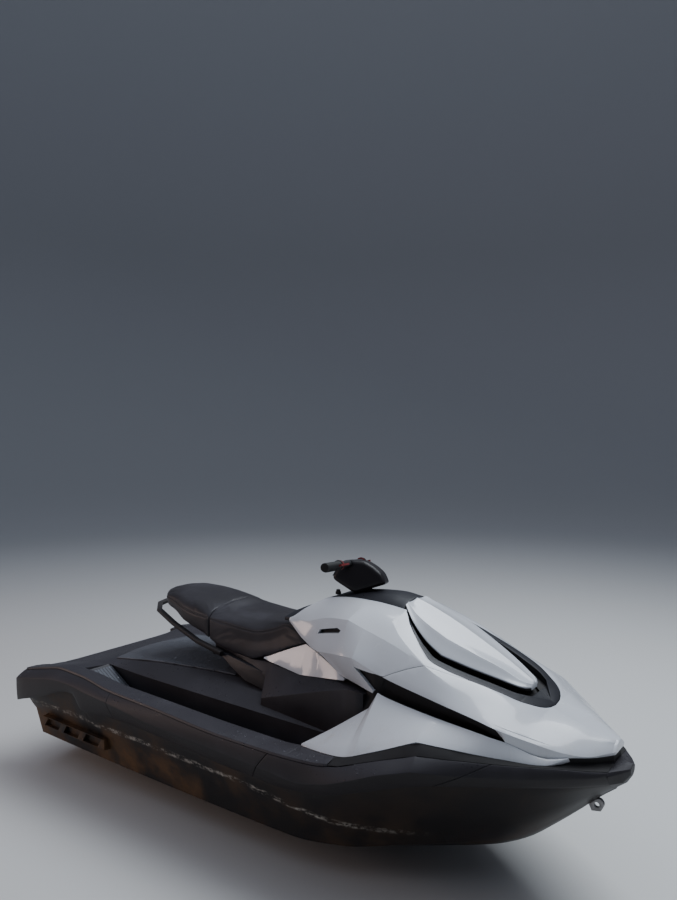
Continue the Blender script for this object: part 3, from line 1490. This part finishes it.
@dataclass
class Storage:
    """Front storage lid and the trim round it."""

    tip_rear: float = 1100.0
    tip_front: float = 1172.0
    # Heights of the tip's underside and of its lip over the channel, and the lip's breadth, at its rear and its front
    underside: Point = (410.5, 383.5)
    lip: Point = (445.0, 400.5)
    lip_breadth: Point = (99.0, -26.0)
    channel: float = 21.0
    # Where the surround starts, its gap beside the lid, and how far its shelf lies under the lid's edge
    surround_rear: float = 606
    gap: float = 6.0
    shelf: float = 32.0
    lid_front: float = 1092.0
    thick: float = 16.0

    def outline(self, x: float) -> Outline:
        """The lid's section at a station, with its dark seal under the white skin.

        Args:
            x: Station.

        Returns:
            The outline.
        """
        lid, fold, top = at("lid", x), at("lid_fold", x), at("lid_top", x)
        seal_y, base = lid[0] - 3, lid[1] - self.thick
        return whole([(0, base), (seal_y, base), (seal_y, lid[1] - 7), (lid[0], lid[1] - 5),
                      *crowned(lid, fold, 1.5), *crowned(fold, top, 4.0), top])

    def surround(self, x: float) -> Outline:
        """The surround's section at a station, with a step down towards the lid.

        Args:
            x: Station.

        Returns:
            The outline.
        """
        (trim_y, trim_z), (lid_y, lid_z) = at("trim", x), at("lid", x)
        base, inner = trim_z - TRIM_THICK + 0.8, lid_y + self.gap
        out = max(trim_y - PANEL_GAP, inner + 3)
        step = inner + 0.55 * (out - inner)
        low = lid_z - 2 * TRIM_THICK + 3
        shelf = max(lid_z - self.shelf, low + 5)
        edge = lid_z + (step - inner) / max(out - inner, 1) * (trim_z - lid_z)
        return [(out, trim_z), (step, edge), (step - 2, shelf), (inner - 3, shelf - 1), (inner - 3, low), (out, base)]

    def tip(self, x: float) -> Outline:
        """Section of the surround's rounded tip, with a channel that runs out.

        Args:
            x: Station.

        Returns:
            The outline.
        """
        share = (x - self.tip_rear) / (self.tip_front - self.tip_rear)
        out_y, out_z = at("trim", x + PANEL_GAP)[0] - PANEL_GAP, at("trim", x)[1]
        low, peak, breadth = (rear + share * (front - rear)
                              for rear, front in (self.underside, self.lip, self.lip_breadth))
        lip_y = max(3.0, min(breadth, out_y - 10))
        floor = peak - self.channel * max(1 - 1.3 * share, 0.0) - 0.3
        return whole([(0, low), (out_y, low), (out_y, out_z), (lip_y, peak), (lip_y - 2, floor), (0, floor)])

    def build(self, dresser: Dresser) -> None:
        """Makes the surround and the lid.

        Args:
            dresser: Puts the pieces on the craft.
        """
        xs = stations(self.surround_rear, self.tip_rear, 18, CORNERS["trim"])
        sides = [loft([(x, self.surround(x)) for x in xs], side.value, dark=(1, 2, 3)) for side in Side]
        tip = loft((x, self.tip(x)) for x in stations(self.tip_rear, self.tip_front, 9, (1140, 1154, 1165)))
        dresser.put("lid_surround", joined(*sides, tip), "trim", 2.5, 20.0, second="core")
        sections = [(x, self.outline(x)) for x in stations(LID_REAR, self.lid_front, 12, CORNERS["lid"])]
        count = len(sections[0][1])
        dresser.put("front_lid", loft(sections, dark=(0, 1, count - 2, count - 1)), "white_skin", 2.5, 14.0,
                    second="core", body="front_lid")


@dataclass
class Helm:
    """Dash, console, pod, bar, grips and levers."""

    # Spacing, width and height of the rings on the grips, in metres, and the share of a grip that they cover
    rib_pitch: float = 0.0052
    rib_width: float = 0.0022
    rib_height: float = 0.0009
    rib_reach: float = 0.78
    dash_ends: Point = (24, 590)
    column_foot: Triple = (350, 0, 705)
    column_axis: Triple = (-0.34202, 0, 0.939693)
    # Radius and length of the hole for the column
    column_hole: Point = (26.0, 160.0)

    def dash(self, x: float) -> Outline:
        """The dash's section at a station.

        Args:
            x: Station.

        Returns:
            The outline.
        """
        (dash_y, dash_z), top = at("dash", x), at("dash_top", x)[1]
        edge_y = dash_y - PANEL_GAP
        return whole([(0, top - SKIN), (edge_y, dash_z - SKIN), (edge_y, dash_z),
                      (edge_y * 0.6, (dash_z + 3 * top) / 4), (0, top)])

    def ribs(self, dresser: Dresser) -> None:
        """Sets raised rings along both grips.

        Args:
            dresser: Puts the pieces on the craft.
        """
        points = np.array([v.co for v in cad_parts["grips"].data.vertices])
        for side in Side:
            own = points[points[:, 1] * side.value > 0]
            middle = (own.min(axis=0) + own.max(axis=0)) / 2
            axis = np.linalg.svd(own - own.mean(axis=0))[2][0]
            along = (own - middle) @ axis
            radius = float(np.median(np.linalg.norm(own - middle - along[:, None] * axis, axis=1)))
            path = [Vector(middle + axis * reach * along.max()) for reach in (-self.rib_reach, self.rib_reach)]
            rings = dresser.row.along(f"Grip_ribs_{side.name.lower()}", [path], dresser.paints["grip"],
                                      Pitch=self.rib_pitch, Length=self.rib_width,
                                      Radius=radius + self.rib_height, Sides=28)
            dresser.seat(rings, "grip", (), "steering")

    def build(self, dresser: Dresser) -> None:
        """Makes the helm, most of it from softened copies of its nodes.

        Args:
            dresser: Puts the pieces on the craft.
        """
        dash = dresser.put("dash", loft((x, self.dash(x)) for x in stations(*self.dash_ends, 20)), "trim", 3.0)
        cut_out(dash, bore(self.column_foot, self.column_axis, *self.column_hole))
        dresser.put("console", tucked("console"), "trim", paint="core")
        for word in ("left", "right"):
            node = f"seat_side_panel_{word}"
            dresser.put(f"side_panel_{word}", from_node(node), "white_skin", 4.0, nodes=[node])
        dresser.copy("kill_switch", "safety", 1.5, "core")
        pod = rounded(new_object("Bar_pod", from_node("bar_pod"), dresser.paints["pod"]), 0.005, 40)
        dresser.seat(pod, "trim", ["bar_pod"], "steering")
        self.ribs(dresser)
        for node, slot, soften in (("steering_column", "bar", 1.0), ("handlebar", "bar", 1.0), ("grips", "grip", 2.0),
                                   ("hand_levers", "lever", 1.5), ("display", "display", 0.8)):
            dresser.copy(node, slot, soften, body="steering")


@dataclass
class Seat:
    """Seat in two padded lengths with stitched seams, and the loop handle behind it."""

    ends: Point = (-834.0, 158.0)
    split: float = -430.0
    rim_rise: float = 24.0
    rim_run: float = 90.0
    shrink: float = 5.0
    voxel: float = 0.006
    # The cloth's pressure and frames, and the furthest that a point may move, in metres
    pressure: float = 4.0
    frames: int = 20
    cap: float = 0.007
    # How far the stitches lie from the seam, in metres
    thread_gap: float = 0.0055

    def outline(self, x: float, front: bool) -> Outline:
        """The seat's section at a station, a little inside its final skin.

        Args:
            x: Station.
            front: Whether it is the front length, which rises at its rear end.

        Returns:
            The outline.
        """
        low, seam, shoulder, top = (at(name, x) for name in ("seat_low", "seat_seam", "seat_shoulder", "seat_top"))
        rim = self.rim_rise * max(0.0, 1 - (x - self.split) / self.rim_run) if front else 0.0
        s = self.shrink
        edge, crest = (shoulder[0] - rim, shoulder[1] + rim / 2 - s), (0, top[1] + rim - s)
        return whole([(0, low[1]), (low[0] - s, low[1]), *crowned((seam[0] - s, seam[1]), edge, -6.0, 2),
                      *crowned(edge, crest, -3.0), crest])

    def swell(self, made: Thing) -> None:
        """Blows the pad up a little with a cloth simulation, its base held.

        Args:
            made: The pad.
        """
        mesh = made.data
        rest = np.array([v.co for v in mesh.vertices])
        held = made.vertex_groups.new(name="base")
        for v in mesh.vertices:
            if v.normal.z < -0.6 or abs(v.normal.x) > 0.7:
                held.add([v.index], 1.0, "REPLACE")
        cloth = made.modifiers.new("Cloth", "CLOTH").settings
        cloth.use_pressure, cloth.uniform_pressure_force = True, self.pressure
        cloth.effector_weights.gravity = 0.0
        cloth.quality, cloth.vertex_group_mass = 4, "base"
        for number in range(1, self.frames + 1):
            bpy.context.scene.frame_set(number)
        shown = made.evaluated_get(bpy.context.evaluated_depsgraph_get())
        moved = np.array([v.co for v in shown.data.vertices]) - rest
        made.modifiers.clear()
        made.vertex_groups.clear()
        size = np.linalg.norm(moved, axis=1)[:, None]
        final = rest + moved * np.minimum(1.0, self.cap / np.maximum(size, 1e-9))
        mesh.vertices.foreach_set("co", final.astype(np.float32).ravel())
        bpy.context.scene.frame_set(1)
        modified(made, "SMOOTH", factor=0.5, iterations=5)

    def groove(self, made: Thing, lines: Sequence[np.ndarray], width: float = 0.010, depth: float = 0.004) -> None:
        """Presses a sewn channel into the pad along lines of points.

        Args:
            made: The pad.
            lines: The lines, in metres.
            width: Reach of the channel on each side.
            depth: Its depth.
        """
        co = np.array([v.co for v in made.data.vertices])
        normals = np.array([v.normal for v in made.data.vertices])
        for line in lines:
            gap = np.full(len(co), np.inf)
            for a, b in zip(line, line[1:]):
                run = b - a
                t = np.clip((co - a) @ run / max(run @ run, 1e-12), 0, 1)
                gap = np.minimum(gap, np.linalg.norm(co - (a + t[:, None] * run), axis=1))
            co = co - normals * (depth * np.clip(1 - gap / width, 0, 1) ** 2)[:, None]
        made.data.vertices.foreach_set("co", co.astype(np.float32).ravel())
        made.data.update()

    def settle(self, made: Thing, line: np.ndarray) -> np.ndarray:
        """The nearest points of the pad's skin to a line.

        Args:
            made: The pad.
            line: The line, in metres.

        Returns:
            The points.
        """
        bm = bmesh.new()
        bm.from_mesh(made.data)
        tree = BVHTree.FromBMesh(bm)
        bm.free()
        return np.array([tree.find_nearest(Vector(p))[0] for p in line])

    def pad(self, name: str, sections: list[Section], paint: Material) -> Thing:
        """One padded length: loft, voxel remesh, swelling and one subdivision.

        Args:
            name: The piece's name.
            sections: Its stations with their outlines.
            paint: Its material.

        Returns:
            The pad.
        """
        made = rounded(new_object(name, loft(sections), paint, 180.0), self.voxel, 6)
        self.swell(made)
        modified(made, "SUBSURF", levels=1, render_levels=1)
        made.data.shade_smooth()
        return made

    def seam_lines(self, rear: float, front: float) -> list[np.ndarray]:
        """Points of the seam on both sides, in metres."""
        points = [(x, *at("seat_seam", x)) for x in np.linspace(rear, front, 60)]
        return [np.array([(x * MM, side.value * y * MM, z * MM) for x, y, z in points]) for side in Side]

    def build(self, dresser: Dresser) -> None:
        """Makes both pads with their seams and stitches, and the handle.

        Args:
            dresser: Puts the pieces on the craft.
        """
        tail, nose = self.ends
        for node, rear, front in (("seat_front", self.split + 1, nose), ("seat_rear", tail, self.split - 1)):
            sections = [(x, self.outline(x, node == "seat_front")) for x in stations(rear, front, 16)]
            made = self.pad(node.capitalize(), sections, dresser.paints["seat"])
            lines = [self.settle(made, line) for line in self.seam_lines(rear + 14, front - 10)]
            self.groove(made, lines)
            dresser.seat(made, "seat", [node])
            threads = [[Vector(p) for p in self.settle(made, line + np.array([0, 0, shift]))]
                       for line in lines for shift in (self.thread_gap, -self.thread_gap)]
            stitches = dresser.row.along(f"{made.name}_stitches", threads, dresser.paints["thread"],
                                         Pitch=0.006, Length=0.0042, Radius=0.0007, Sides=6)
            dresser.seat(stitches, "seat")
        dresser.copy("grab_handle", "handle", 3.0)


@dataclass
class JetDrive:
    """Pump, nozzle, shaft, impeller, ride plate, intake grate and the block that drives them."""

    soften: float = 1.0

    def build(self, dresser: Dresser) -> None:
        """Makes the drive from softened copies of its nodes.

        Args:
            dresser: Puts the pieces on the craft.
        """
        for node, slot, paint, body in (
                ("jet_pump", "pump", "", "craft"), ("nozzle", "pump", "", "nozzle"),
                ("drive_shaft", "steel", "", "impeller"), ("impeller", "steel", "", "impeller"),
                ("ride_plate", "trim", "core", "craft"), ("intake_grate", "trim", "pump", "craft"),
                ("powertrain", "case", "", "craft")):
            dresser.copy(node, slot, self.soften, paint, body)


def main() -> None:
    """Builds the studio and every sub-assembly in order."""
    logging.basicConfig(level=logging.INFO, format="%(name)s %(message)s")
    Studio().build()
    dresser = Dresser({name: finish.mix() for name, finish in FINISHES.items()}, Row())
    for assembly in (Hull(), Deck(), Bumper(), WhiteSkin(), Storage(), Helm(), Seat(), JetDrive()):
        assembly.build(dresser)
    log.info("%d pieces", dresser.made)
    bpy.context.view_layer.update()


if __name__ == "__main__":
    main()
